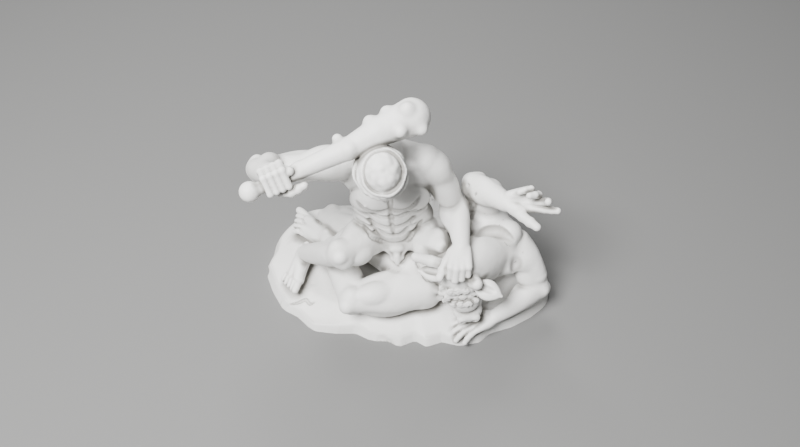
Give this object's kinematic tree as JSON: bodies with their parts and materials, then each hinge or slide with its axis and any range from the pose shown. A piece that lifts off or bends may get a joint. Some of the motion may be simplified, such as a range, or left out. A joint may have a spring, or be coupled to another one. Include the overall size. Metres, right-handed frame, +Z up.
{
  "type": "theseus and minotaur statue",
  "caption": "Small white cast statue of a kneeling hero with a raised club over a fallen bull-headed man, on a broken rock base.",
  "frame": {"origin": "centre of the outline on the flat underside of the rock", "axes": "+Z up, +Y away from the side the hero faces, +X along the rock from the hero's kneeling right foot towards the bull-headed man's elbow"},
  "size_m": [0.19, 0.1208, 0.1666],
  "materials": {
    "white_cast": "matt white cast, slightly chalky"
  },
  "bodies": {
    "root": {"theseus_and_minotaur_group": "white_cast"}
  },
  "joints": []
}
